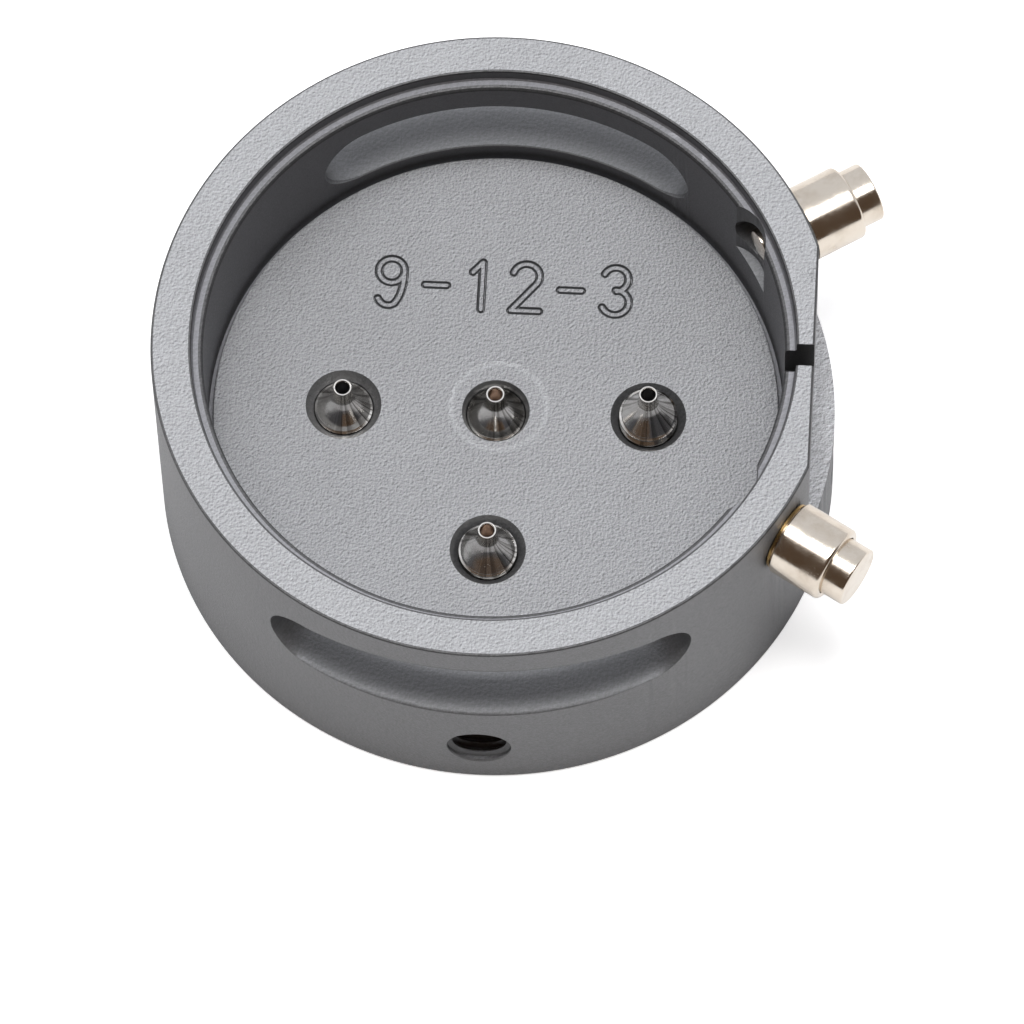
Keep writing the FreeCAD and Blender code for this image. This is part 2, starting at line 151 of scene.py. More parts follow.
# Camera: angles in degrees, distances and lens in millimetres, clipping in metres.
CAMERA_AZIMUTH = 4.5688
CAMERA_ELEVATION = 65.3163
CAMERA_ROLL = -1.7467
CAMERA_DISTANCE = 513.797
CAMERA_AIM_HEIGHT = 7.0
CAMERA_RIGHT = 0.781
CAMERA_DOWN = 5.0418
CAMERA_LENS = 376.96
SENSOR_WIDTH = 36
CLIP_RANGE = (0.01, 10)


# ---------------------------------------------------------------- shapes

def outline_mesh(points, closed):
    """A bmesh with one chain of edges in the XZ plane, through (radius, height) points."""
    bm = bmesh.new()
    verts = [bm.verts.new((radius, 0, height)) for radius, height in points]
    pairs = list(zip(verts, verts[1:]))
    if closed:
        pairs.append((verts[-1], verts[0]))
    for pair in pairs:
        bm.edges.new(pair)
    return bm


def turned(points, steps=96, closed=False):
    """Turn an outline round Z. An open outline starts and ends on the axis."""
    bm = outline_mesh(points, closed)
    bmesh.ops.spin(bm, geom=bm.verts[:] + bm.edges[:], cent=(0, 0, 0), axis=UP, dvec=(0, 0, 0),
                   angle=math.tau, steps=steps, use_merge=True)
    bmesh.ops.remove_doubles(bm, verts=bm.verts, dist=1e-5)
    bmesh.ops.recalc_face_normals(bm, faces=bm.faces)
    return bm


def coiled(section, pitch, turns, steps=48):
    """Sweep a closed (radius, height) section along a helix round Z, and cap both ends."""
    bm = outline_mesh(section, True)
    total = int(steps * turns)
    bmesh.ops.spin(bm, geom=bm.verts[:] + bm.edges[:], cent=(0, 0, 0), axis=UP,
                   dvec=(0, 0, pitch / steps), angle=math.tau * total / steps, steps=total,
                   use_merge=False)
    ends = [e for e in bm.edges if e.is_boundary]
    bmesh.ops.holes_fill(bm, edges=ends, sides=0)
    bmesh.ops.recalc_face_normals(bm, faces=bm.faces)
    return bm


def ring_section(radius, height, thickness, corners=16):
    """Round section of a ring or a wire, as (radius, height) points."""
    turn = [math.tau * i / corners for i in range(corners)]
    return [(radius + thickness * math.cos(a), height + thickness * math.sin(a)) for a in turn]


def block(low, high):
    """Box between two corners."""
    bm = bmesh.new()
    bmesh.ops.create_cube(bm, size=1)
    low, high = Vector(low), Vector(high)
    bmesh.ops.scale(bm, vec=high - low, verts=bm.verts)
    bmesh.ops.translate(bm, vec=(low + high) / 2, verts=bm.verts)
    return bm


def hexagon_prism(width, low, high):
    """Hexagon bar along Z, of a width across flats."""
    bm = bmesh.new()
    bmesh.ops.create_cone(bm, cap_ends=True, segments=6, radius1=width / math.sqrt(3),
                          radius2=width / math.sqrt(3), depth=high - low)
    bmesh.ops.translate(bm, vec=(0, 0, (low + high) / 2), verts=bm.verts)
    return bm


def moved(bm, matrix):
    """The same bmesh, moved."""
    bmesh.ops.transform(bm, matrix=matrix, verts=bm.verts)
    return bm


def along(angle, distance=0.0, height=0.0, offset=0.0):
    """Matrix that lays local Z outwards at an angle in degrees, as a radial hole or screw lies."""
    spin = Matrix.Rotation(math.radians(angle), 4, "Z")
    place = spin @ Matrix.Translation((distance, offset, height))
    return place @ Matrix.Rotation(math.radians(90), 4, "Y")


def as_object(name, bm):
    """Object for a finished bmesh, still in millimetres."""
    mesh = bpy.data.meshes.new(name)
    bm.to_mesh(mesh)
    bm.free()
    piece = bpy.data.objects.new(name, mesh)
    bpy.context.scene.collection.objects.link(piece)
    return piece


def bake_modifiers(piece):
    """Replace a piece's mesh with what its modifiers make of it."""
    bpy.context.view_layer.update()
    graph = bpy.context.evaluated_depsgraph_get()
    made = bpy.data.meshes.new_from_object(piece.evaluated_get(graph))
    piece.modifiers.clear()
    old = piece.data
    piece.data = made
    bpy.data.meshes.remove(old)
    made.name = piece.name
    return piece


def cut(piece, cutters):
    """Cut each (bmesh, finish number) cutter out of a piece, leaving its finish on the cut."""
    made = []
    for bm, look in cutters:
        for face in bm.faces:
            face.material_index = look
        cutter = as_object(piece.name + "_cutter", bm)
        for material in piece.data.materials:
            cutter.data.materials.append(material)
        made.append(cutter)
    for cutter in made:
        tool = piece.modifiers.new("cut", "BOOLEAN")
        tool.operation = "DIFFERENCE"
        tool.solver = "MANIFOLD"
        tool.object = cutter
    bake_modifiers(piece)
    for cutter in made:
        mesh = cutter.data
        bpy.data.objects.remove(cutter)
        bpy.data.meshes.remove(mesh)
    return piece


def soften(piece, width, chosen, angle=35):
    """Break by a small width the sharp edges whose middle is in a chosen zone."""
    bm = bmesh.new()
    bm.from_mesh(piece.data)
    sharp = [e for e in bm.edges if e.is_manifold and e.calc_face_angle() > math.radians(angle)
             and chosen((e.verts[0].co + e.verts[1].co) / 2)]
    bmesh.ops.bevel(bm, geom=sharp, offset=width, offset_type="OFFSET", affect="EDGES", segments=2,
                    profile=0.5, material=-1, clamp_overlap=True)
    bm.to_mesh(piece.data)
    bm.free()
    return piece


def shade(piece, material=None, angle=32):
    """Smooth shading up to an angle, with faces square to X or Z kept flat.

    A material, where one is given, becomes the only one on the piece.
    """
    mesh = piece.data
    if material:
        mesh.materials.clear()
        mesh.materials.append(material)
    for face in mesh.polygons:
        face.use_smooth = True
        face.material_index = 0 if material else face.material_index
        if max(abs(face.normal.x), abs(face.normal.z)) > 0.99999:
            face.use_smooth = False
    mesh.set_sharp_from_angle(angle=math.radians(angle))
    tool = piece.modifiers.new("normals", "WEIGHTED_NORMAL")
    tool.mode = "FACE_AREA"
    tool.weight = 50
    tool.keep_sharp = True
    return bake_modifiers(piece)


def true_up(piece, radii):
    """Give level faces and walls turned about Z, at the given radii, their exact normals."""
    mesh = piece.data
    normals = [corner.vector.copy() for corner in mesh.corner_normals]
    for face in mesh.polygons:
        if abs(face.normal.z) > 0.9999:
            for loop in face.loop_indices:
                normals[loop] = Vector((0, 0, math.copysign(1, face.normal.z)))
            continue
        if abs(face.normal.z) > 0.02:
            continue
        reach = [mesh.vertices[v].co.to_2d().length for v in face.vertices]
        if not any(max(abs(r - radius) for r in reach) < 0.02 for radius in radii):
            continue
        for loop, vert in zip(face.loop_indices, face.vertices):
            out = mesh.vertices[vert].co.to_2d().normalized()
            out = Vector((out.x, out.y, 0))
            normals[loop] = out if out.dot(face.normal) > 0 else -out
    mesh.normals_split_custom_set([tuple(normal) for normal in normals])


def fit(piece, node, body):
    """Bring a piece from millimetres into the frame, in place of its solid."""
    piece.data.transform(Matrix.Scale(MM, 4))
    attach(piece, body)
    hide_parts(node)
    return piece


# ---------------------------------------------------------------- finishes

def node_group(name, inputs, outputs):
    """Empty shader group with its named sockets: (name, kind, default) in, (name, kind) out."""
    group = bpy.data.node_groups.new(name, "ShaderNodeTree")
    for label, kind, default in inputs:
        socket = group.interface.new_socket(label, in_out="INPUT", socket_type=kind)
        if default is not None:
            socket.default_value = default
    for label, kind in outputs:
        group.interface.new_socket(label, in_out="OUTPUT", socket_type=kind)
    start = group.nodes.new("NodeGroupInput")
    end = group.nodes.new("NodeGroupOutput")
    return group, start, end


def math_node(tree, operation, first, second=None):
    """Math node whose inputs are sockets or numbers; gives its output."""
    node = tree.nodes.new("ShaderNodeMath")
    node.operation = operation
    for index, value in enumerate((first, second)):
        if value is None:
            continue
        if isinstance(value, (int, float)):
            node.inputs[index].default_value = value
        else:
            tree.links.new(value, node.inputs[index])
    return node.outputs[0]


def noise_node(tree, vector, scale, detail=2.0, roughness=0.5):
    """Noise texture's value over a coordinate."""
    node = tree.nodes.new("ShaderNodeTexNoise")
    tree.links.new(vector, node.inputs["Vector"])
    if isinstance(scale, (int, float)):
        node.inputs["Scale"].default_value = scale
    else:
        tree.links.new(scale, node.inputs["Scale"])
    node.inputs["Detail"].default_value = detail
    node.inputs["Roughness"].default_value = roughness
    return node.outputs["Fac"]


def mix_color(tree, factor, first, second, blend="MIX"):
    """Colour mix whose inputs are sockets, colours or numbers; gives its output."""
    node = tree.nodes.new("ShaderNodeMix")
    node.data_type = "RGBA"
    node.blend_type = blend
    # A colour mix keeps its factor in socket 0 and its two colours in sockets 6 and 7.
    for index, value in ((0, factor), (6, first), (7, second)):
        socket = node.inputs[index]
        if isinstance(value, (int, float)):
            socket.default_value = value
        elif isinstance(value, tuple):
            socket.default_value = (*value, 1)
        else:
            tree.links.new(value, socket)
    return node.outputs[2]


def spread(tree, value, low, high, new_low, new_high):
    """Map a value's range onto another, clamped."""
    node = tree.nodes.new("ShaderNodeMapRange")
    tree.links.new(value, node.inputs["Value"])
    for label, number in (("From Min", low), ("From Max", high), ("To Min", new_low),
                          ("To Max", new_high)):
        node.inputs[label].default_value = number
    return node.outputs["Result"]


EFFECT_OUTPUTS = (("Color", "NodeSocketColor"), ("Height", "NodeSocketFloat"),
                  ("Roughness", "NodeSocketFloat"))
PAINTED_RELIEF_OFFSET = (-0.032 * MM, 0.04 * MM, 0.0)
FINE_GRAIN = 2.7
CLOUD_SCALE = 180.0
REFLECTION_STREAK_SCALE = 5.5
REFLECTION_STREAK_COLOR = (0.1, 0.085, 0.075)


def blasted_grain_and_painted_light_group():
    """Grain of a bead-blasted face: bold on level faces, faint and darker on upright walls, the
    darkening partly a smoother finish and partly painted shade.

    Each grain carries a painted highlight on one side and painted shade on the other, from the
    difference of two noises a short way apart.
    """
    group, start, end = node_group(
        "BlastedGrainWithPaintedLight",
        (("Vector", "NodeSocketVector", None), ("Color", "NodeSocketColor", (0.3, 0.31, 0.33, 1)),
         ("Grain", "NodeSocketFloat", 4200.0), ("PaintedRelief", "NodeSocketFloat", 1.5)),
        EFFECT_OUTPUTS)
    vector = start.outputs["Vector"]
    geometry = group.nodes.new("ShaderNodeNewGeometry")
    parts = group.nodes.new("ShaderNodeSeparateXYZ")
    group.links.new(geometry.outputs["True Normal"], parts.inputs[0])
    facing_up = math_node(group, "ABSOLUTE", parts.outputs["Z"])
    boldness = spread(group, facing_up, 0.3, 0.9, 0.35, 1.0)
    # Upright faces darkened: partly a smoother finish, partly painted shade.
    finish_and_painted_shade_by_facing = spread(group, facing_up, 0.3, 0.95, 0.475, 1.0)
    coarse = noise_node(group, vector, start.outputs["Grain"], 2.0, 0.55)
    fine_scale = math_node(group, "MULTIPLY", start.outputs["Grain"], FINE_GRAIN)
    fine = noise_node(group, vector, fine_scale, 2.0, 0.6)
    # Painted highlight and shade on opposite sides of each grain, from a second noise a short way
    # off.
    beside = group.nodes.new("ShaderNodeVectorMath")
    beside.operation = "ADD"
    group.links.new(vector, beside.inputs[0])
    beside.inputs[1].default_value = PAINTED_RELIEF_OFFSET
    next_to = noise_node(group, beside.outputs[0], start.outputs["Grain"], 2.0, 0.55)
    painted_relief_light = math_node(group, "MULTIPLY", math_node(group, "SUBTRACT", coarse, next_to),
                      start.outputs["PaintedRelief"])
    grain = math_node(group, "ADD", math_node(group, "MULTIPLY", coarse, 0.65),
                      math_node(group, "MULTIPLY", fine, 0.35))
    height = math_node(group, "MULTIPLY", grain, boldness)
    cloud = noise_node(group, vector, CLOUD_SCALE, 2.0, 0.5)
    tone = spread(group, cloud, 0.3, 0.7, 0.98, 1.02)
    grain_tone_and_painted_relief = math_node(group, "ADD", painted_relief_light, spread(group, grain, 0.35, 0.65, -0.1, 0.08))
    tone = math_node(group, "ADD", tone, math_node(group, "MULTIPLY", grain_tone_and_painted_relief, boldness))
    tone = math_node(group, "MULTIPLY", tone, finish_and_painted_shade_by_facing)
    shades = group.nodes.new("ShaderNodeCombineXYZ")
    for axis in range(3):
        group.links.new(tone, shades.inputs[axis])
    color = mix_color(group, 1.0, start.outputs["Color"], shades.outputs[0], "MULTIPLY")
    rough = spread(group, fine, 0.3, 0.7, 0.42, 0.6)
    group.links.new(color, end.inputs["Color"])
    group.links.new(height, end.inputs["Height"])
    group.links.new(rough, end.inputs["Roughness"])
    return group


def handling_wear_and_reflection_group(name, reflection_streaked=False):
    """Fine scuffs and a faint film of handling, with or without a painted reflection: dark streaks
    down a turned cone, set by which way the surface faces.
    """
    group, start, end = node_group(
        name,
        (("Vector", "NodeSocketVector", None), ("Color", "NodeSocketColor", (0.8, 0.8, 0.8, 1)),
         ("Film", "NodeSocketColor", (0.5, 0.45, 0.4, 1)), ("Scale", "NodeSocketFloat", 900.0),
         ("Amount", "NodeSocketFloat", 0.35), ("Smooth", "NodeSocketFloat", 0.08)),
        EFFECT_OUTPUTS)
    vector = start.outputs["Vector"]
    film = noise_node(group, vector, start.outputs["Scale"], 4.0, 0.65)
    film = math_node(group, "MULTIPLY", spread(group, film, 0.42, 0.72, 0.0, 1.0),
                     start.outputs["Amount"])
    scuff_scale = math_node(group, "MULTIPLY", start.outputs["Scale"], 6.0)
    scuff = noise_node(group, vector, scuff_scale, 3.0, 0.7)
    color = mix_color(group, film, start.outputs["Color"], start.outputs["Film"])
    # Painted reflection: dark streaks chosen by the way the surface faces, as surroundings show in
    # polished metal.
    if reflection_streaked:
        geometry = group.nodes.new("ShaderNodeNewGeometry")
        parts = group.nodes.new("ShaderNodeSeparateXYZ")
        level = group.nodes.new("ShaderNodeCombineXYZ")
        around = group.nodes.new("ShaderNodeVectorMath")
        around.operation = "NORMALIZE"
        group.links.new(geometry.outputs["True Normal"], parts.inputs[0])
        for axis in range(2):
            group.links.new(parts.outputs[axis], level.inputs[axis])
        group.links.new(level.outputs[0], around.inputs[0])
        painted_reflection = noise_node(group, around.outputs[0], REFLECTION_STREAK_SCALE, 3.0, 0.7)
        painted_reflection = spread(group, painted_reflection, 0.5, 0.62, 0.0, 0.75)
        color = mix_color(group, painted_reflection, color, REFLECTION_STREAK_COLOR)
    rough = math_node(group, "ADD", start.outputs["Smooth"],
                      math_node(group, "MULTIPLY", film, 0.35))
    rough = math_node(group, "ADD", rough, spread(group, scuff, 0.45, 0.75, 0.0, 0.06))
    group.links.new(color, end.inputs["Color"])
    group.links.new(scuff, end.inputs["Height"])
    group.links.new(rough, end.inputs["Roughness"])
    return group


GRAIN = blasted_grain_and_painted_light_group()
WEAR = handling_wear_and_reflection_group("HandlingWear")
REFLECTION_STREAKS = handling_wear_and_reflection_group("TurnedReflectionStreaks", True)


def finish(name, group, values, constants, bump):
    """Material with a Principled surface driven by one group over Object coordinates."""
    material = bpy.data.materials.new(name)
    material.use_nodes = True
    tree = material.node_tree
    surface = tree.nodes["Principled BSDF"]
    place = tree.nodes.new("ShaderNodeTexCoord")
    effect = tree.nodes.new("ShaderNodeGroup")
    effect.node_tree = group
    tree.links.new(place.outputs["Object"], effect.inputs["Vector"])
    for label, value in values.items():
        effect.inputs[label].default_value = value
    for label, value in constants.items():
        surface.inputs[label].default_value = value
    relief = tree.nodes.new("ShaderNodeBump")
    relief.inputs["Distance"].default_value = bump * MM
    relief.inputs["Strength"].default_value = 1.0
    tree.links.new(effect.outputs["Height"], relief.inputs["Height"])
    tree.links.new(relief.outputs["Normal"], surface.inputs["Normal"])
    tree.links.new(effect.outputs["Color"], surface.inputs["Base Color"])
    tree.links.new(effect.outputs["Roughness"], surface.inputs["Roughness"])
    return material


def make_finishes():
    """Every finish on the object, by name."""
    return {
        "blasted": finish("blasted_anodised_aluminium", GRAIN,
                          {"Color": (0.412, 0.418, 0.434, 1), "Grain": 7200.0},
                          {"Metallic": 0.5}, 0.11),
        # Darker finish for windows, pockets, holes and the numerals' steep sides: partly smoother
        # machining, partly painted shade.
        "milled": finish("milled_aluminium_and_painted_shade", GRAIN,
                         {"Color": (0.235, 0.24, 0.25, 1), "Grain": 6200.0, "PaintedRelief": 0.6},
                         {"Metallic": 0.5}, 0.03),
        # Darker copy for the recess walls and the seat: painted shade.
        "turned_wall_painted_shade": finish("turned_aluminium_painted_shade", GRAIN,
                              {"Color": (0.225, 0.226, 0.242, 1), "Grain": 5200.0, "PaintedRelief": 0.6},
                              {"Metallic": 0.5}, 0.02),
        # Darker copy of the blasted finish for the recess floor: painted shade.
        "floor": finish("blasted_floor_aluminium_painted_shade", GRAIN,
                        {"Color": (0.345, 0.349, 0.363, 1), "Grain": 7200.0, "PaintedRelief": 1.8},
                        {"Metallic": 0.5}, 0.11),
        # Paler copy of the blasted finish for the 3 o'clock flat and the ledge below it: painted
        # light.
        "flat": finish("coarse_blasted_aluminium_painted_light", GRAIN,
                       {"Color": (0.495, 0.5, 0.52, 1), "Grain": 5600.0, "PaintedRelief": 2.6},
                       {"Metallic": 0.5}, 0.11),
        "bore": finish("dull_bore_steel", WEAR,
                       {"Color": (0.4, 0.32, 0.27, 1), "Film": (0.2, 0.14, 0.1, 1),
                        "Scale": 1600.0, "Amount": 0.6, "Smooth": 0.34},
                       {"Metallic": 1.0}, 0.002),
        # Near-black finish for the small bevels round the top and the posts' countersinks: painted
        # shade.
        "edge": finish("broken_edge_painted_shade", GRAIN,
                       {"Color": (0.09, 0.09, 0.093, 1), "Grain": 5200.0},
                       {"Metallic": 0.4}, 0.06),
        # Near-black finish inside the stem notch: painted shade.
        "notch": finish("slot_painted_shade", GRAIN,
                        {"Color": (0.03, 0.03, 0.032, 1), "Grain": 5200.0},
                        {"Metallic": 0.3}, 0.02),
        "plated": finish("plated_pusher_steel", WEAR,
                         {"Color": (0.8, 0.725, 0.63, 1), "Film": (0.5, 0.4, 0.3, 1),
                          "Scale": 700.0, "Amount": 0.45, "Smooth": 0.12},
                         {"Metallic": 1.0}, 0.0015),
        # The posts' cones carry the painted reflection streaks.
        "turned": finish("turned_post_steel", REFLECTION_STREAKS,
                         {"Color": (0.95, 0.93, 0.89, 1), "Film": (0.4, 0.36, 0.32, 1),
                          "Scale": 1600.0, "Amount": 0.4, "Smooth": 0.13},
                         {"Metallic": 1.0, "Anisotropic": 0.5}, 0.002),
        "black": finish("blackened_screw_steel_and_bore_shade", WEAR,
                        {"Color": (0.05, 0.05, 0.052, 1), "Film": (0.12, 0.11, 0.1, 1),
                         "Scale": 1500.0, "Amount": 0.5, "Smooth": 0.32},
                        {"Metallic": 0.8}, 0.003),
        # Brass darkened for the shade under the tube's shoulder: painted shade.
        "brass": finish("washer_brass_painted_shade", WEAR,
                        {"Color": (0.5, 0.33, 0.13, 1), "Film": (0.16, 0.09, 0.04, 1),
                         "Scale": 1200.0, "Amount": 0.35, "Smooth": 0.16},
                        {"Metallic": 1.0}, 0.002),
        "rubber": finish("gasket_rubber", WEAR,
                         {"Color": (0.02, 0.02, 0.02, 1), "Film": (0.05, 0.05, 0.05, 1),
                          "Scale": 2500.0, "Amount": 0.6, "Smooth": 0.55},
                         {"Metallic": 0.0}, 0.004),
        "wire": finish("spring_wire_steel", WEAR,
                       {"Color": (0.66, 0.66, 0.66, 1), "Film": (0.4, 0.38, 0.36, 1),
                        "Scale": 1800.0, "Amount": 0.3, "Smooth": 0.18},
                       {"Metallic": 1.0}, 0.001),
    }


# ---------------------------------------------------------------- holder body

def body_blank():
    """Turned blank with its recess, seat and raised floor."""
    return turned((
        (0, FLOOR_HEIGHT),
        (FLOOR_RADIUS - 0.1, FLOOR_HEIGHT),
        (FLOOR_RADIUS - 0.03, FLOOR_HEIGHT - 0.03),
        (FLOOR_RADIUS, FLOOR_HEIGHT - 0.1),
        (FLOOR_RADIUS, RELIEF_HEIGHT),
        (RECESS_RADIUS, RELIEF_HEIGHT),
        (RECESS_RADIUS, SEAT_HEIGHT - 0.24),
        (RECESS_RADIUS + 0.03, SEAT_HEIGHT - 0.13),
        (RECESS_RADIUS + 0.1, SEAT_HEIGHT - 0.04),
        (RECESS_RADIUS + SEAT_ROUNDING, SEAT_HEIGHT),
        (SEAT_RADIUS - SEAT_FILLET, SEAT_HEIGHT),
        (SEAT_RADIUS, SEAT_HEIGHT + SEAT_FILLET),
        (SEAT_RADIUS, BODY_HEIGHT - EDGE_BREAK),
        (SEAT_RADIUS + EDGE_SAG, BODY_HEIGHT - EDGE_SAG),
        (SEAT_RADIUS + EDGE_BREAK, BODY_HEIGHT),
        (BODY_RADIUS - EDGE_BREAK, BODY_HEIGHT),
        (BODY_RADIUS - EDGE_SAG, BODY_HEIGHT - EDGE_SAG),
        (BODY_RADIUS, BODY_HEIGHT - EDGE_BREAK),
        (BODY_RADIUS, EDGE_BREAK),
        (BODY_RADIUS - EDGE_BREAK, 0),
        (0, 0),
    ), BODY_STEPS)


def flat_cutter():
    """Cutter for the 3 o'clock flat, with the broken edge along its top."""
    bm = bmesh.new()
    far = BODY_RADIUS + 2 * CUT_MARGIN
    top = BODY_HEIGHT + CUT_MARGIN
    points = ((FLAT_DISTANCE, FLAT_HEIGHT), (far, FLAT_HEIGHT), (far, top),
              (FLAT_DISTANCE - FLAT_BREAK - CUT_MARGIN, top),
              (FLAT_DISTANCE, BODY_HEIGHT - FLAT_BREAK))
    verts = [bm.verts.new((x, -BODY_RADIUS, z)) for x, z in points]
    face = bm.faces.new(verts)
    grown = bmesh.ops.extrude_face_region(bm, geom=[face], use_keep_orig=True)
    ends = [v for v in grown["geom"] if isinstance(v, bmesh.types.BMVert)]
    bmesh.ops.translate(bm, vec=(0, 2 * BODY_RADIUS, 0), verts=ends)
    bmesh.ops.recalc_face_normals(bm, faces=bm.faces)
    return bm


def notch_cutter():
    """Cutter for the slot that lets the winding stem out."""
    return block((RECESS_RADIUS - CUT_MARGIN, -NOTCH_WIDTH / 2, NOTCH_HEIGHT),
                 (BODY_RADIUS + CUT_MARGIN, NOTCH_WIDTH / 2, BODY_HEIGHT + CUT_MARGIN))


# A window's cutter, layer by layer: distance from the axis, and how far the outline has grown
# there. The last layer stands well clear, so that its flat end doesn't cut back into the wall.
WINDOW_LAYERS = (
    (13.2, 0.3), (13.8, 0.05), (13.86, 0.0), (15.2, 0.0), (15.55, 0.06), (15.8, 0.17),
    (15.98, 0.32), (16.11, 0.5), (16.2, 0.7), (16.25, 0.92), (16.3, 1.1), (17.0, 1.12),
    (24.0, 1.12),
)


def past_end(flat, reach):
    """How far a point of the flat window outline lies beyond the window's straight part."""
    return flat.x - max(-reach, min(reach, flat.x))


def window_growth(flat, reach, radius):
    """How much of the growth a point of the window's outline takes: most above the middle."""
    middle = 1 - min(abs(flat.x) / reach, 1) ** 2
    if flat.y > 0:
        return 0.12 + 0.88 * middle * min(flat.y / radius, 1)
    return 0.12 + 0.1 * middle


def window_cutter(side):
    """Cutter for a finger window: a long hole with round ends, bent round the body's axis."""
    radius = (WINDOW_HIGH - WINDOW_LOW) / 2
    middle = (WINDOW_HIGH + WINDOW_LOW) / 2
    end = math.radians(WINDOW_END_ANGLE)
    reach = end * RECESS_RADIUS
    bm = bmesh.new()
    bmesh.ops.create_circle(bm, segments=64, radius=radius)
    for vert in bm.verts:
        vert.co.x += reach if vert.co.x > -1e-6 else -reach
    long_edges = [e for e in bm.edges if e.calc_length() > 2 * radius]
    bmesh.ops.subdivide_edges(bm, edges=long_edges, cuts=60)
    outline = [vert.co.copy() for vert in ordered_loop(bm)]
    bm.free()
    layers = []
    for distance, growth in WINDOW_LAYERS:
        layer = []
        for flat in outline:
            outwards = Vector((past_end(flat, reach), flat.y, 0)).normalized()
            share = window_growth(flat, reach, radius) if distance > RECESS_RADIUS + 0.1 else 1
            layer.append(bend(flat + outwards * growth * share, distance, end, middle, side))
        layers.append(layer)
    return loft(layers)


def ordered_loop(bm):
    """Vertices of a single closed chain of edges, in order."""
    bm.verts.ensure_lookup_table()
    first = bm.verts[0]
    order = [first]
    edge = first.link_edges[0]
    vert = edge.other_vert(first)
    while vert is not first:
        order.append(vert)
        edge = next(e for e in vert.link_edges if e is not edge)
        vert = edge.other_vert(vert)
    return order


def bend(flat, distance, end, middle, side):
    """Bend a point of the flat window outline round the axis; its round ends stay round."""
    angle = max(-end, min(end, flat.x / RECESS_RADIUS))
    place = Vector((distance, past_end(flat, end * RECESS_RADIUS), middle + flat.y))
    return Matrix.Rotation(math.radians(side) + angle, 4, "Z") @ place


def loft(layers):
    """Closed skin through rings with the same number of points, one extrusion after another."""
    bm = bmesh.new()
    order = bm.verts.layers.int.new("order")
    verts = [bm.verts.new(point) for point in layers[0]]
    for index, vert in enumerate(verts):
        vert[order] = index
    ring = [bm.edges.new((verts[i - 1], verts[i])) for i in range(len(verts))]
    for layer in layers[1:]:
        grown = bmesh.ops.extrude_edge_only(bm, edges=ring)["geom"]
        ring = [item for item in grown if isinstance(item, bmesh.types.BMEdge)]
        for vert in grown:
            if isinstance(vert, bmesh.types.BMVert):
                vert.co = layer[vert[order]]
    bmesh.ops.holes_fill(bm, edges=[edge for edge in bm.edges if edge.is_boundary], sides=0)
    bmesh.ops.recalc_face_normals(bm, faces=bm.faces)
    return bm


def plug(outline, matrix, steps=64):
    """Turned cutter, laid in place."""
    return moved(turned(outline, steps), matrix)


def pocket_cutter(angle, offset):
    """Cutter that clears the wall in front of a pusher's tip."""
    spin = Matrix.Rotation(math.radians(angle), 4, "Z")
    place = spin @ Matrix.Translation((POCKET_DISTANCE, offset, 0))
    radius, lip, top = POCKET_RADIUS, 0.06, BODY_HEIGHT + CUT_MARGIN
    return plug(((0, POCKET_HEIGHT), (radius, POCKET_HEIGHT), (radius, BODY_HEIGHT - lip),
                 (radius + CUT_MARGIN + lip, top), (0, top)), place, 96)


def pusher_hole_cutter(angle, offset):
    """Cutter for the hole that a pusher's tube screws into, with its countersunk mouth."""
    place = along(angle, 0, PUSHER_HEIGHT, offset)
    radius, mouth, sink = PUSHER_BORE_RADIUS, 16.0, 1.3
    return plug(((0, POCKET_DISTANCE), (radius, POCKET_DISTANCE), (radius, mouth),
                 (radius + sink, mouth + sink), (0, mouth + sink)), place)


def post_centre(name):
    """Axis of a post, in millimetres."""
    low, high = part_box("support_post_" + name)
    middle = (low + high) / (2 * MM)
    return Vector((middle.x, middle.y, 0))


def post_hole_cutter(name, mouth):
    """Cutter for a post's hole, countersunk at both ends; the mouth is its radius at the floor."""
    place = Matrix.Translation(post_centre(name))
    radius, depth, clear = POST_HOLE_RADIUS, 0.42, FLOOR_HEIGHT + 0.6
    foot_radius, foot_depth = 2.5, 0.15
    return plug(((0, -CUT_MARGIN), (foot_radius, -CUT_MARGIN), (radius, foot_depth),
                 (radius, FLOOR_HEIGHT - depth), (mouth, FLOOR_HEIGHT - 0.03),
                 (mouth + 0.05, FLOOR_HEIGHT + 0.02), (mouth + 0.05, clear), (0, clear)), place)


def post_distance(name):
    """How far a post's axis stands from the body's axis."""
    return 0.0 if name == "center" else POST_DISTANCE


def lock_hole_cutter(name):
    """Cutter for a lock screw's hole, from its post outwards, with thread ridges near its mouth.

    The ridges start beyond the screw's furthest reach, so that it never passes through them.
    """
    start = post_distance(name)
    place = along(LOCK_ANGLES[name], 0, LOCK_HEIGHT)
    wide, narrow, mouth = LOCK_HOLE_RADIUS, LOCK_RIDGE_RADIUS, BODY_RADIUS - 0.1
    outline = [(0, start), (1.5, start)]
    for i in range(LOCK_RIDGES):
        crest = LOCK_RIDGE_START + LOCK_RIDGE_PITCH * i
        outline += [(wide, crest - 0.26), (wide, crest - 0.2), (narrow, crest - 0.03),
                    (narrow, crest + 0.03), (wide, crest + 0.16)]
    outline += [(wide, mouth), (wide + 0.1 + CUT_MARGIN, BODY_RADIUS + CUT_MARGIN),
                (0, BODY_RADIUS + CUT_MARGIN)]
    return plug(outline, place)


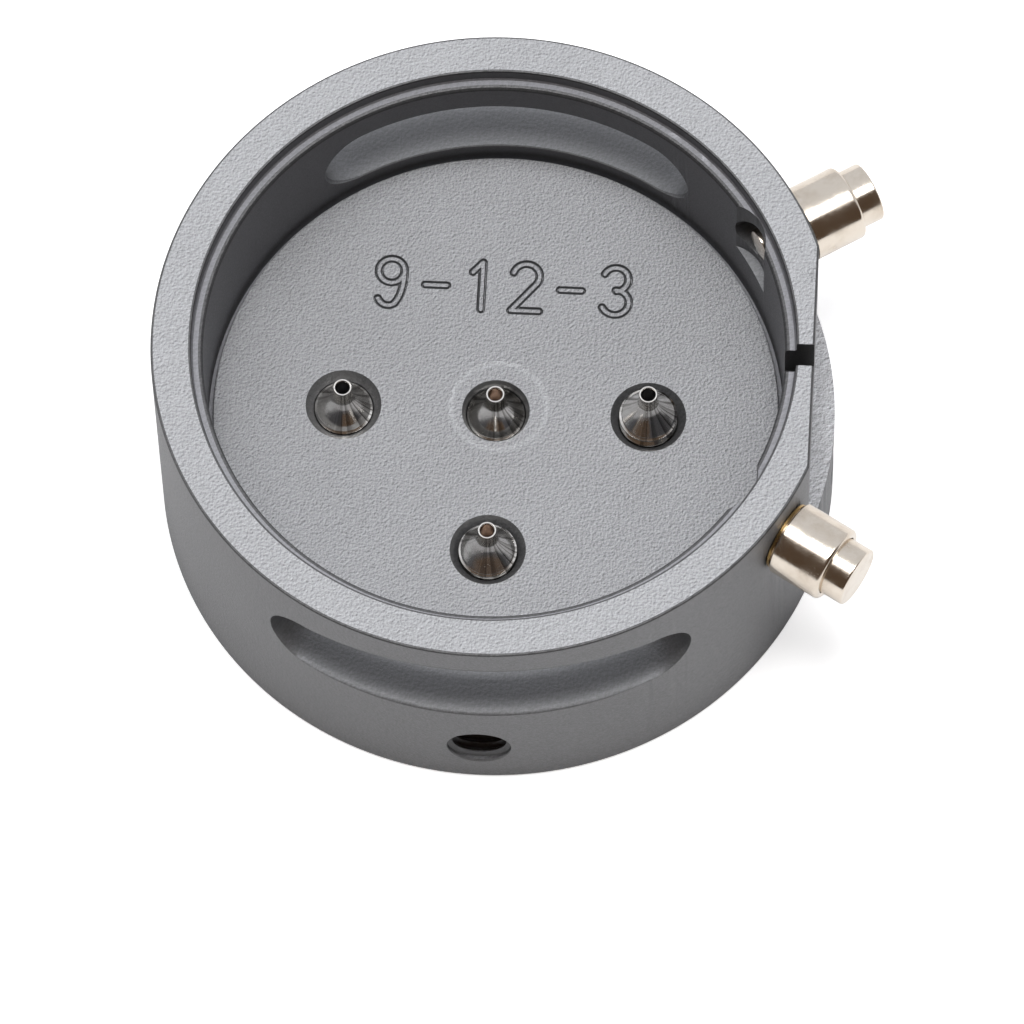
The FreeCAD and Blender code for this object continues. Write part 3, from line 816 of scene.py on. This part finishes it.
# Strokes of the dial numerals, in millimetres from a numeral's middle. An arc is centre x,
# centre y, radius across, radius up, first angle and last angle; a line is its points.
NUMERALS = {
    "9": (("arc", 0, 0.62, 0.62, 0.64, 0, 360),
          ("arc", -0.08, 0.45, 0.7, 1.72, 8, -70),
          ("arc", -0.1, -0.62, 0.55, 0.62, -50, -155)),
    "1": (("line", (-0.42, 0.72), (0.05, 1.26), (0.05, -1.26)),),
    "2": (("arc", 0, 0.6, 0.64, 0.66, 165, -35),
          ("line", (0.52, 0.22), (-0.68, -1.24), (0.68, -1.24))),
    "3": (("arc", -0.02, 0.63, 0.6, 0.63, 155, -85),
          ("arc", -0.02, -0.6, 0.67, 0.66, 88, -155)),
    "-": (("line", (-0.52, -0.05), (0.52, -0.05)),),
}
NUMERAL_TEXT = "9-12-3"
NUMERAL_PITCH = 2.17
NUMERAL_MIDDLE = (0.02, 6.62)
NUMERAL_BAND = 3.4
NUMERAL_SIDE = 3.0
NUMERAL_GRID = 0.024
STROKE = 0.15
OUTLINE_DEPTH = 0.17
STROKE_DEPTH = 0.02
ARC_STEPS = 28


def stroke_points(stroke):
    """Points along one stroke."""
    if stroke[0] == "line":
        return [Vector(p) for p in stroke[1:]]
    cx, cy, across, up, first, last = stroke[1:]
    angles = [math.radians(first + (last - first) * i / ARC_STEPS) for i in range(ARC_STEPS + 1)]
    return [Vector((cx + across * math.cos(a), cy + up * math.sin(a))) for a in angles]


def stroke_segments():
    """Every stroke of the numerals as short straight segments: two arrays of end points."""
    starts, ends = [], []
    for i, character in enumerate(NUMERAL_TEXT):
        shift = Vector(((i - (len(NUMERAL_TEXT) - 1) / 2) * NUMERAL_PITCH, 0))
        for stroke in NUMERALS[character]:
            points = [p + shift + Vector(NUMERAL_MIDDLE) for p in stroke_points(stroke)]
            for a, b in zip(points, points[1:]):
                starts.append(a)
                ends.append(b)
    return np.array(starts), np.array(ends)


def engraving_depth(distance):
    """Depth of the engraving at a distance from the nearest stroke's middle.

    The tool left a fine groove along both sides of a stroke, and sank a little between them.
    """
    edge = np.clip(1.25 - np.abs(distance - STROKE) / 0.05, 0, 1)
    inside = np.clip((STROKE - distance) / 0.04, 0, 1)
    return OUTLINE_DEPTH * edge + STROKE_DEPTH * inside * (1 - edge)


def numeral_cutter():
    """Cutter for the numerals: a slab whose underside dips below the floor along each stroke."""
    width = NUMERAL_PITCH * len(NUMERAL_TEXT) + 0.6
    bm = bmesh.new()
    bmesh.ops.create_grid(bm, x_segments=int(width / NUMERAL_GRID),
                          y_segments=int(NUMERAL_BAND / NUMERAL_GRID), size=0.5)
    bmesh.ops.scale(bm, vec=(width, NUMERAL_BAND, 1), verts=bm.verts)
    bmesh.ops.translate(bm, vec=(*NUMERAL_MIDDLE, 0), verts=bm.verts)
    grid = bm.verts[:]
    places = np.array([v.co.xy for v in grid])
    nearest = np.full(len(grid), 9.0)
    for a, b in zip(*stroke_segments()):
        line = b - a
        t = np.clip(((places - a) @ line) / (line @ line), 0, 1)
        gap = np.linalg.norm(places - (a + t[:, None] * line), axis=1)
        nearest = np.minimum(nearest, gap)
    sunk = engraving_depth(nearest)
    grown = bmesh.ops.extrude_face_region(bm, geom=bm.faces[:], use_keep_orig=True)
    top = [v for v in grown["geom"] if isinstance(v, bmesh.types.BMVert)]
    bmesh.ops.translate(bm, vec=(0, 0, FLOOR_HEIGHT + 0.5), verts=top)
    for vert, down in zip(grid, sunk):
        vert.co.z = FLOOR_HEIGHT + 0.004 - down
    flat = [f for f in bm.faces if all(v.co.z > FLOOR_HEIGHT + 0.4 for v in f.verts)]
    bmesh.ops.dissolve_faces(bm, faces=flat)
    bmesh.ops.recalc_face_normals(bm, faces=bm.faces)
    return bm


# The body's finishes, and the number that a face carries for each.
BODY_LOOKS = ("blasted", "milled", "turned_wall_painted_shade", "edge", "notch", "flat", "floor")
BLASTED, MILLED, WALL, EDGE, DARK, FLAT, FLOOR = range(len(BODY_LOOKS))


def halo_cutter():
    """Cutter for the shallow ring round the centre post, a little off its middle."""
    section = ring_section(HALO_RADIUS, FLOOR_HEIGHT + HALO_LIFT, HALO_THICKNESS, 96)
    return moved(turned(section, 96, True), Matrix.Translation(HALO_MIDDLE))


def make_holder_body(finishes):
    """The one-piece body, with every milled, drilled and engraved feature."""
    body = as_object("holder", body_blank())
    for look in BODY_LOOKS:
        body.data.materials.append(finishes[look])
    for face in body.data.polygons:
        face.material_index = blank_look(face.center)
    # The flat takes the paler flat finish, as painted light, and the stem notch the near-black slot
    # finish, as painted shade.
    cutters = [(flat_cutter(), FLAT), (notch_cutter(), DARK),
               (window_cutter(90), MILLED), (window_cutter(270), MILLED)]
    for _, *place in PUSHERS:
        cutters.append((pocket_cutter(*place), MILLED))
        cutters.append((pusher_hole_cutter(*place), MILLED))
    for name in POSTS:
        mouth = CENTER_HOLE_MOUTH if name == "center" else POST_HOLE_MOUTH
        # Countersinks take the near-black edge finish: painted shade.
        cutters.append((post_hole_cutter(name, mouth), EDGE))
        cutters.append((lock_hole_cutter(name), MILLED))
    # The ring takes the paler rim finish within the darker floor: a painted light ring.
    cutters.append((halo_cutter(), BLASTED))
    cutters.append((numeral_cutter(), FLOOR))
    cut(body, cutters)
    # Small bevels round the top take the near-black edge finish, as painted shade; the numerals'
    # steep sides take the darker milled finish, partly painted shade.
    for face in body.data.polygons:
        if is_broken_edge(face.center, face.normal):
            face.material_index = EDGE
        elif is_engraved_side(face.center, face.normal):
            face.material_index = MILLED
    soften(body, MILL_BREAK, near_milled_edge)
    shade(body)
    true_up(body, (FLOOR_RADIUS, RECESS_RADIUS, SEAT_RADIUS, BODY_RADIUS))
    return fit(body, "holder_body", "holder")


def near_milled_edge(middle):
    """Whether an edge of the body belongs to the flat, the stem notch or a pusher pocket."""
    distance = math.hypot(middle.x, middle.y)
    high_enough = middle.z > FLAT_HEIGHT - 0.1
    return middle.x > PUSHER_SIDE and high_enough and distance > FLOOR_RADIUS


def is_broken_edge(centre, normal):
    """Whether a face is one of the small bevels round the top."""
    return centre.z > BODY_HEIGHT - 0.25 and 0.1 < normal.z < 0.99


def is_engraved_side(centre, normal):
    """Whether a face is one of the steep sides of the numerals' strokes."""
    sunk = FLOOR_HEIGHT - 0.3 < centre.z < FLOOR_HEIGHT - 0.01
    on_floor = centre.y > NUMERAL_SIDE and centre.to_2d().length < FLOOR_RADIUS - 0.5
    return sunk and on_floor and normal.z < 0.85


def blank_look(centre):
    """Finish of a face of the turned blank."""
    distance = math.hypot(centre.x, centre.y)
    if distance > SEAT_RADIUS + 0.3 or centre.z < RELIEF_HEIGHT - 1:
        return BLASTED
    # The recess floor takes the darker floor finish: painted shade.
    if distance < FLOOR_RADIUS - 0.01:
        return FLOOR
    rounded = RECESS_RADIUS < distance < RECESS_RADIUS + SEAT_ROUNDING
    # The seat's rounded edge takes the near-black edge finish and the recess walls and seat the
    # darker wall finish: painted shade on both.
    return EDGE if rounded and centre.z > SEAT_HEIGHT - 0.25 else WALL


def join(piece, others):
    """Add other objects' meshes to a piece, as further shells."""
    bm = bmesh.new()
    bm.from_mesh(piece.data)
    for other in others:
        bm.from_mesh(other.data)
        mesh = other.data
        bpy.data.objects.remove(other)
        bpy.data.meshes.remove(mesh)
    bm.to_mesh(piece.data)
    bm.free()
    return piece


# ---------------------------------------------------------------- posts and lock screws

def make_post(name, finishes):
    """Support post: threaded body, polished cone, hollow tip and a hexagon socket underneath."""
    node = "support_post_" + name
    low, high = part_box(node)
    foot, tip = low.z / MM, high.z / MM
    base = tip - POST_CONE_HEIGHT
    middle = post_centre(name)
    radius, tip_radius, bore = POST_RADIUS, POST_TIP_RADIUS, POST_BORE_RADIUS
    threaded = ((0, foot), (radius - 0.1, foot), (radius, foot + 0.12), (radius, base - 0.22))
    collar = ((1.36, base - 0.16), (1.4, base - 0.1), (1.39, base - 0.04), (1.3, base),
              (1.26, base + 0.03))
    cone = ((1.24, base + 0.06), (0.9, base + 0.48), (0.62, base + 0.88), (0.5, base + 1.14),
            (0.455, base + 1.3))
    hollow_tip = ((tip_radius, base + 1.4), (tip_radius, tip - 0.03), (0.425, tip), (0.365, tip),
                  (bore + 0.005, tip - 0.04), (bore, tip - 0.1), (bore, tip - POST_BORE_DEPTH),
                  (0, tip - POST_BORE_DEPTH - 0.1))
    solid = turned(threaded + collar + cone + hollow_tip, 96)
    post = as_object("post_" + name, moved(solid, Matrix.Translation(middle)))
    socket = hexagon_prism(SOCKET_WIDTH, foot - CUT_MARGIN, foot + 1.2)
    cut(post, [(moved(socket, Matrix.Translation(middle)), 0)])
    pitch, crest, root = POST_THREAD_PITCH, POST_THREAD_RADIUS, POST_RADIUS - 0.02
    turns = (base - 0.3 - foot - 0.2) / pitch - 1
    ridge = coiled(((root, 0.0), (crest, 0.14), (crest, 0.18), (root, 0.32)), pitch, turns)
    lift = Matrix.Translation(middle + UP * (foot + 0.2))
    join(post, [as_object("ridge", moved(ridge, lift))])
    shade(post, finishes["turned"], 30)
    # Identical bores get finishes by where the post stands: black at 3 and 9 o'clock as painted
    # shade, the paler bore finish at the other two.
    post.data.materials.append(finishes["black" if name in ("3_oclock", "9_oclock") else "bore"])
    for face in post.data.polygons:
        centre = face.center - middle
        in_bore = math.hypot(centre.x, centre.y) < bore + 0.005
        if in_bore and foot + 1.5 < centre.z < tip - 0.25:
            face.material_index = 1
    return fit(post, node, "post_" + name)


def make_lock_screw(name, finishes):
    """Headless lock screw: threaded body, flat point and a hexagon socket."""
    start = LOCK_GAP + post_distance(name)
    radius, end = LOCK_RADIUS, LOCK_LENGTH
    outline = ((0, 0), (0.9, 0), (0.95, 0.05), (radius, 0.42), (radius, end - 0.15),
               (radius - 0.12, end - 0.03), (radius - 0.19, end), (0, end))
    screw = as_object("lock_" + name, turned(outline, 72))
    cut(screw, [(hexagon_prism(SOCKET_WIDTH, end - 1.2, end + CUT_MARGIN), 0)])
    crest, root = LOCK_THREAD_RADIUS, LOCK_RADIUS - 0.02
    ridge = coiled(((root, 0.0), (crest, 0.22), (crest, 0.26), (root, 0.48)), LOCK_THREAD_PITCH,
                   LOCK_THREAD_TURNS)
    join(screw, [as_object("ridge", moved(ridge, Matrix.Translation((0, 0, 0.46))))])
    screw.data.transform(along(LOCK_ANGLES[name], start, LOCK_HEIGHT))
    shade(screw, finishes["black"], 30)
    return fit(screw, "lock_screw_" + name, "lock_" + name)


# ---------------------------------------------------------------- pushers

def rounded_corner(radius, height, rounding, steps=5):
    """Points that round an outer edge, from the side up to the end face."""
    turn = [math.radians(90 * i / steps) for i in range(steps + 1)]
    return [(radius - rounding + rounding * math.cos(a), height - rounding + rounding * math.sin(a))
            for a in turn]


def tube_outline():
    """Tube: a screwed neck with a guide bore, a seat for the gasket and a wide outer bore."""
    inner, shoulder, end = TUBE_INNER_END, TUBE_SHOULDER, TUBE_END
    neck, radius, bore, guide = TUBE_SCREW_RADIUS, TUBE_RADIUS, TUBE_BORE_RADIUS, GUIDE_BORE_RADIUS
    seat = GASKET_SEAT_RADIUS
    outside = [(guide, inner), (neck - 0.07, inner), (neck, inner + 0.07), (neck, shoulder),
               (radius - 0.05, shoulder), (radius, shoulder + 0.05)]
    inside = [(bore + 0.03, end), (bore, end - 0.03), (bore, GASKET_SEAT_END),
              (seat, GASKET_SEAT_END), (seat, shoulder), (guide, shoulder)]
    return outside + rounded_corner(radius, end, 0.2) + inside


def plunger_outline():
    """Plunger: a rod, and a cap whose hollow skirt takes the spring."""
    rod, cap, start = PLUNGER_ROD_RADIUS, PLUNGER_CAP_RADIUS, 14.35
    skirt_radius, skirt_depth = 1.24, 19.4
    inside = [(0, start), (rod - 0.03, start), (rod, start + 0.03), (rod, skirt_depth),
              (skirt_radius, skirt_depth), (skirt_radius, PLUNGER_SKIRT),
              (cap - 0.03, PLUNGER_SKIRT), (cap, PLUNGER_SKIRT + 0.03)]
    return inside + rounded_corner(cap, PLUNGER_END, 0.1, 4) + [(0, PLUNGER_END)]


def nut_outline():
    """Stop nut on the rod's inner end, with its corners rounded."""
    radius, start, end = NUT_RADIUS, 14.2, 14.93
    bore = PLUNGER_ROD_RADIUS + 0.01
    return [(0, start), (radius - 0.12, start), (radius - 0.03, start + 0.03),
            (radius, start + 0.12), (radius, end - 0.03), (radius - 0.03, end), (bore, end),
            (bore, start + 0.16), (0, start + 0.16)]


def washer_outline():
    """Thin washer under the tube's shoulder."""
    inner, outer, low, high, corner = 1.47, 1.7, 16.27, 16.4, 0.01
    return [(inner, low), (outer - corner, low), (outer, low + corner), (outer, high - corner),
            (outer - corner, high), (inner, high)]


def make_pusher(name, angle, offset, finishes):
    """Every piece of one pusher; local Z is the distance from the body's axis."""
    place = along(angle, 0, PUSHER_HEIGHT, offset)
    plunger_body = "plunger_" + name
    pieces = (
        # label, shape, finish, body, slot
        ("tube", turned(tube_outline(), 128, True), "plated", "holder", "pusher_steel"),
        ("plunger", turned(plunger_outline(), 128), "plated", plunger_body, "pusher_steel"),
        ("stop_nut", turned(nut_outline(), 96), "plated", plunger_body, "bright_steel"),
        ("washer", turned(washer_outline(), 128, True), "brass", "holder", "washer_brass"),
        ("gasket", turned(ring_section(0.82, 16.725, 0.165), 64, True), "rubber", "holder",
         "gasket_rubber"),
    )
    for label, bm, look, body, slot in pieces:
        piece = as_object(label + "_" + name, moved(bm, place))
        shade(piece, finishes[look], 35)
        fit(piece, "pusher_" + label + "_" + name, body)
    make_spring(name, place, finishes)


def make_spring(name, place, finishes):
    """Return spring, a coil of round wire round the pusher's axis."""
    wire = ring_section(SPRING_RADIUS, SPRING_START, SPRING_WIRE_RADIUS, 12)
    coil = coiled(wire, SPRING_PITCH, SPRING_TURNS, 40)
    spring = as_object("spring_" + name, moved(coil, place))
    shade(spring, finishes["wire"], 50)
    fit(spring, "pusher_spring_" + name, "holder")
    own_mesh(spring)


# ---------------------------------------------------------------- studio

FLOOR_GLOW = 0.5
BOX_AIM = (0, 0, 0)
# Colours of the tent, seen in the object's polished metal: in front, then behind and above.
TENT_DARK = (0.085, 0.058, 0.04)
TENT_PALE = (0.72, 0.73, 0.76)


def make_floor():
    """Plain pale floor, a little brighter to the eye than the light that it throws back."""
    bm = bmesh.new()
    bmesh.ops.create_grid(bm, x_segments=1, y_segments=1, size=2.0)
    floor = as_object("floor", bm)
    material = bpy.data.materials.new("pale_floor")
    material.use_nodes = True
    tree = material.node_tree
    surface = tree.nodes["Principled BSDF"]
    surface.inputs["Base Color"].default_value = (0.86, 0.86, 0.86, 1)
    surface.inputs["Roughness"].default_value = 0.9
    surface.inputs["Emission Color"].default_value = (1, 1, 1, 1)
    rays = tree.nodes.new("ShaderNodeLightPath")
    glow = math_node(tree, "MULTIPLY", rays.outputs["Is Camera Ray"], FLOOR_GLOW)
    tree.links.new(glow, surface.inputs["Emission Strength"])
    floor.data.materials.append(material)


def area_light(name, place, aim, width, height, power):
    """White soft box at a place, facing a point; sizes in metres, power in watts."""
    lamp = bpy.data.lights.new(name, "AREA")
    lamp.shape = "RECTANGLE"
    lamp.size = width
    lamp.size_y = height
    lamp.energy = power
    stand = bpy.data.objects.new(name, lamp)
    stand.location = place
    stand.rotation_euler = (Vector(aim) - Vector(place)).to_track_quat("-Z", "Y").to_euler()
    bpy.context.scene.collection.objects.link(stand)


def make_surround():
    """Light tent: pale behind and above, dark in front."""
    world = bpy.data.worlds.new("surround")
    world.use_nodes = True
    tree = world.node_tree
    place = tree.nodes.new("ShaderNodeTexCoord")
    parts = tree.nodes.new("ShaderNodeSeparateXYZ")
    tree.links.new(place.outputs["Generated"], parts.inputs[0])
    across = math_node(tree, "MULTIPLY", math_node(tree, "ABSOLUTE", parts.outputs["X"]), 0.1)
    deep = math_node(tree, "MULTIPLY", parts.outputs["Y"], 1.3)
    high = math_node(tree, "MULTIPLY", parts.outputs["Z"], 0.35)
    lean = math_node(tree, "ADD", math_node(tree, "ADD", across, deep), high)
    amount = spread(tree, lean, 0.0, 0.5, 0.0, 1.0)
    color = mix_color(tree, amount, TENT_DARK, TENT_PALE)
    tree.links.new(color, tree.nodes["Background"].inputs["Color"])
    bpy.context.scene.world = world


def make_light():
    """Wide soft box overhead with a brighter core above it, and the tent round them."""
    area_light("soft_box", (0.0, -0.02, 0.66), BOX_AIM, width=0.7, height=0.26, power=1.7)
    area_light("soft_core", (0.0, -0.02, 0.67), BOX_AIM, width=0.24, height=0.24, power=2.5)
    make_surround()
    bpy.context.scene.view_settings.view_transform = "Standard"


def make_camera():
    """Camera high above, almost in front, and rolled a little clockwise."""
    azimuth, elevation = math.radians(CAMERA_AZIMUTH), math.radians(CAMERA_ELEVATION)
    roll = math.radians(CAMERA_ROLL)
    back = Vector((math.sin(azimuth) * math.cos(elevation),
                   -math.cos(azimuth) * math.cos(elevation), math.sin(elevation)))
    right = Vector((math.cos(azimuth), math.sin(azimuth), 0))
    up = back.cross(right)
    turned_right = right * math.cos(roll) + up * math.sin(roll)
    turned_up = up * math.cos(roll) - right * math.sin(roll)
    place = (UP * CAMERA_AIM_HEIGHT + back * CAMERA_DISTANCE
             + turned_right * CAMERA_RIGHT - turned_up * CAMERA_DOWN)
    lens = bpy.data.cameras.new("camera")
    lens.lens = CAMERA_LENS
    lens.sensor_width = SENSOR_WIDTH
    lens.clip_start, lens.clip_end = CLIP_RANGE
    camera = bpy.data.objects.new("camera", lens)
    rotation = Matrix((turned_right, turned_up, back)).transposed().to_4x4()
    camera.matrix_world = Matrix.Translation(place * MM) @ rotation
    bpy.context.scene.collection.objects.link(camera)
    bpy.context.scene.camera = camera


make_camera()
make_floor()
make_light()
FINISHES = make_finishes()
make_holder_body(FINISHES)
for post in POSTS:
    make_post(post, FINISHES)
    make_lock_screw(post, FINISHES)
for pusher in PUSHERS:
    make_pusher(*pusher, FINISHES)
